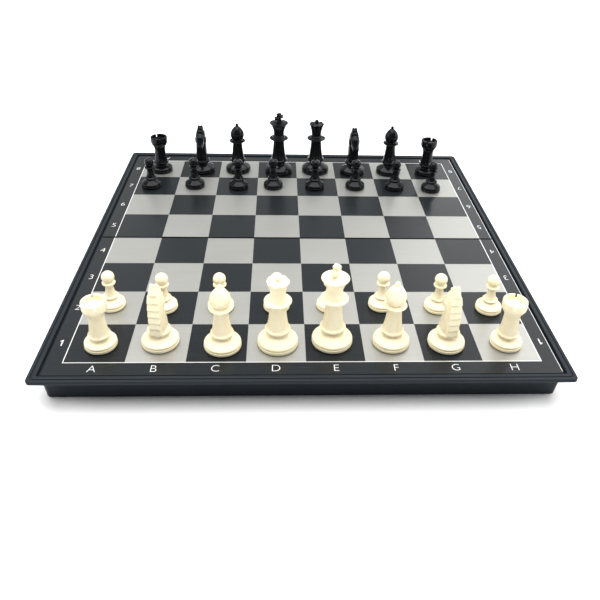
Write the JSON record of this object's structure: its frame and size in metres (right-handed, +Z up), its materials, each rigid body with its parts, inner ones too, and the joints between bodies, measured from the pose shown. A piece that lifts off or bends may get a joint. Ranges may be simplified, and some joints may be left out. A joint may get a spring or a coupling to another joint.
{
  "type": "folding magnetic chess set",
  "caption": "Folding plastic chess board case with inset printed sheets, two hinged halves that store the men, and a full set of magnetic men standing on their squares.",
  "frame": {"origin": "on the table, at the middle of the opened board, under the seam", "axes": "+Z up, +X to the right of the white player, +Y from the white player to the black player"},
  "size_m": [0.3204, 0.324, 0.0794],
  "materials": {
    "ivory_plastic": "moulded ivory plastic, soft gloss",
    "black_plastic": "moulded black plastic, glossy",
    "case_plastic": "moulded blue-black plastic, satin",
    "printed_sheet": "silver and black printed sheet with a fine brushed satin face",
    "steel": "plain steel",
    "felt": "thin black felt under each man"
  },
  "bodies": {
    "front_half": {"front_case": "case_plastic", "front_playing_sheet": "printed_sheet", "front_steel_sheet": "steel", "front_closure_magnet_left": "steel", "front_closure_magnet_right": "steel", "hinge_pin_left": "steel", "hinge_pin_right": "steel"},
    "rear_half": {"rear_case": "case_plastic", "rear_playing_sheet": "printed_sheet", "rear_steel_sheet": "steel", "rear_closure_magnet_left": "steel", "rear_closure_magnet_right": "steel"},
    "white_rook_a1": {"white_rook_a1": "ivory_plastic"},
    "white_pawn_a2": {"white_pawn_a2": "ivory_plastic"},
    "white_knight_b1": {"white_knight_b1": "ivory_plastic"},
    "white_pawn_b2": {"white_pawn_b2": "ivory_plastic"},
    "white_bishop_c1": {"white_bishop_c1": "ivory_plastic"},
    "white_pawn_c2": {"white_pawn_c2": "ivory_plastic"},
    "white_queen_d1": {"white_queen_d1": "ivory_plastic"},
    "white_pawn_d2": {"white_pawn_d2": "ivory_plastic"},
    "white_king_e1": {"white_king_e1": "ivory_plastic"},
    "white_pawn_e2": {"white_pawn_e2": "ivory_plastic"},
    "white_bishop_f1": {"white_bishop_f1": "ivory_plastic"},
    "white_pawn_f2": {"white_pawn_f2": "ivory_plastic"},
    "white_knight_g1": {"white_knight_g1": "ivory_plastic"},
    "white_pawn_g2": {"white_pawn_g2": "ivory_plastic"},
    "white_rook_h1": {"white_rook_h1": "ivory_plastic"},
    "white_pawn_h2": {"white_pawn_h2": "ivory_plastic"},
    "black_rook_a8": {"black_rook_a8": "black_plastic"},
    "black_pawn_a7": {"black_pawn_a7": "black_plastic"},
    "black_knight_b8": {"black_knight_b8": "black_plastic"},
    "black_pawn_b7": {"black_pawn_b7": "black_plastic"},
    "black_bishop_c8": {"black_bishop_c8": "black_plastic"},
    "black_pawn_c7": {"black_pawn_c7": "black_plastic"},
    "black_king_d8": {"black_king_d8": "black_plastic"},
    "black_pawn_d7": {"black_pawn_d7": "black_plastic"},
    "black_queen_e8": {"black_queen_e8": "black_plastic"},
    "black_pawn_e7": {"black_pawn_e7": "black_plastic"},
    "black_knight_f8": {"black_knight_f8": "black_plastic"},
    "black_pawn_f7": {"black_pawn_f7": "black_plastic"},
    "black_bishop_g8": {"black_bishop_g8": "black_plastic"},
    "black_pawn_g7": {"black_pawn_g7": "black_plastic"},
    "black_rook_h8": {"black_rook_h8": "black_plastic"},
    "black_pawn_h7": {"black_pawn_h7": "black_plastic"}
  },
  "joints": [
    {"name": "fold", "type": "hinge", "parent": "front_half", "child": "rear_half", "pos_m": [0, 0, 0.0016], "axis": [-1, 0, 0], "range_deg": [0, 178.6]},
    {"name": "lift_white_rook_a1", "type": "slide", "parent": "front_half", "child": "white_rook_a1", "axis": [0, 0, 1], "range_m": [0, 0.085]},
    {"name": "lift_white_pawn_a2", "type": "slide", "parent": "front_half", "child": "white_pawn_a2", "axis": [0, 0, 1], "range_m": [0, 0.085]},
    {"name": "lift_white_knight_b1", "type": "slide", "parent": "front_half", "child": "white_knight_b1", "axis": [0, 0, 1], "range_m": [0, 0.085]},
    {"name": "lift_white_pawn_b2", "type": "slide", "parent": "front_half", "child": "white_pawn_b2", "axis": [0, 0, 1], "range_m": [0, 0.085]},
    {"name": "lift_white_bishop_c1", "type": "slide", "parent": "front_half", "child": "white_bishop_c1", "axis": [0, 0, 1], "range_m": [0, 0.085]},
    {"name": "lift_white_pawn_c2", "type": "slide", "parent": "front_half", "child": "white_pawn_c2", "axis": [0, 0, 1], "range_m": [0, 0.085]},
    {"name": "lift_white_queen_d1", "type": "slide", "parent": "front_half", "child": "white_queen_d1", "axis": [0, 0, 1], "range_m": [0, 0.085]},
    {"name": "lift_white_pawn_d2", "type": "slide", "parent": "front_half", "child": "white_pawn_d2", "axis": [0, 0, 1], "range_m": [0, 0.085]},
    {"name": "lift_white_king_e1", "type": "slide", "parent": "front_half", "child": "white_king_e1", "axis": [0, 0, 1], "range_m": [0, 0.085]},
    {"name": "lift_white_pawn_e2", "type": "slide", "parent": "front_half", "child": "white_pawn_e2", "axis": [0, 0, 1], "range_m": [0, 0.085]},
    {"name": "lift_white_bishop_f1", "type": "slide", "parent": "front_half", "child": "white_bishop_f1", "axis": [0, 0, 1], "range_m": [0, 0.085]},
    {"name": "lift_white_pawn_f2", "type": "slide", "parent": "front_half", "child": "white_pawn_f2", "axis": [0, 0, 1], "range_m": [0, 0.085]},
    {"name": "lift_white_knight_g1", "type": "slide", "parent": "front_half", "child": "white_knight_g1", "axis": [0, 0, 1], "range_m": [0, 0.085]},
    {"name": "lift_white_pawn_g2", "type": "slide", "parent": "front_half", "child": "white_pawn_g2", "axis": [0, 0, 1], "range_m": [0, 0.085]},
    {"name": "lift_white_rook_h1", "type": "slide", "parent": "front_half", "child": "white_rook_h1", "axis": [0, 0, 1], "range_m": [0, 0.085]},
    {"name": "lift_white_pawn_h2", "type": "slide", "parent": "front_half", "child": "white_pawn_h2", "axis": [0, 0, 1], "range_m": [0, 0.085]},
    {"name": "lift_black_rook_a8", "type": "slide", "parent": "rear_half", "child": "black_rook_a8", "axis": [0, 0, 1], "range_m": [0, 0.085]},
    {"name": "lift_black_pawn_a7", "type": "slide", "parent": "rear_half", "child": "black_pawn_a7", "axis": [0, 0, 1], "range_m": [0, 0.085]},
    {"name": "lift_black_knight_b8", "type": "slide", "parent": "rear_half", "child": "black_knight_b8", "axis": [0, 0, 1], "range_m": [0, 0.085]},
    {"name": "lift_black_pawn_b7", "type": "slide", "parent": "rear_half", "child": "black_pawn_b7", "axis": [0, 0, 1], "range_m": [0, 0.085]},
    {"name": "lift_black_bishop_c8", "type": "slide", "parent": "rear_half", "child": "black_bishop_c8", "axis": [0, 0, 1], "range_m": [0, 0.085]},
    {"name": "lift_black_pawn_c7", "type": "slide", "parent": "rear_half", "child": "black_pawn_c7", "axis": [0, 0, 1], "range_m": [0, 0.085]},
    {"name": "lift_black_king_d8", "type": "slide", "parent": "rear_half", "child": "black_king_d8", "axis": [0, 0, 1], "range_m": [0, 0.085]},
    {"name": "lift_black_pawn_d7", "type": "slide", "parent": "rear_half", "child": "black_pawn_d7", "axis": [0, 0, 1], "range_m": [0, 0.085]},
    {"name": "lift_black_queen_e8", "type": "slide", "parent": "rear_half", "child": "black_queen_e8", "axis": [0, 0, 1], "range_m": [0, 0.085]},
    {"name": "lift_black_pawn_e7", "type": "slide", "parent": "rear_half", "child": "black_pawn_e7", "axis": [0, 0, 1], "range_m": [0, 0.085]},
    {"name": "lift_black_knight_f8", "type": "slide", "parent": "rear_half", "child": "black_knight_f8", "axis": [0, 0, 1], "range_m": [0, 0.085]},
    {"name": "lift_black_pawn_f7", "type": "slide", "parent": "rear_half", "child": "black_pawn_f7", "axis": [0, 0, 1], "range_m": [0, 0.085]},
    {"name": "lift_black_bishop_g8", "type": "slide", "parent": "rear_half", "child": "black_bishop_g8", "axis": [0, 0, 1], "range_m": [0, 0.085]},
    {"name": "lift_black_pawn_g7", "type": "slide", "parent": "rear_half", "child": "black_pawn_g7", "axis": [0, 0, 1], "range_m": [0, 0.085]},
    {"name": "lift_black_rook_h8", "type": "slide", "parent": "rear_half", "child": "black_rook_h8", "axis": [0, 0, 1], "range_m": [0, 0.085]},
    {"name": "lift_black_pawn_h7", "type": "slide", "parent": "rear_half", "child": "black_pawn_h7", "axis": [0, 0, 1], "range_m": [0, 0.085]}
  ]
}
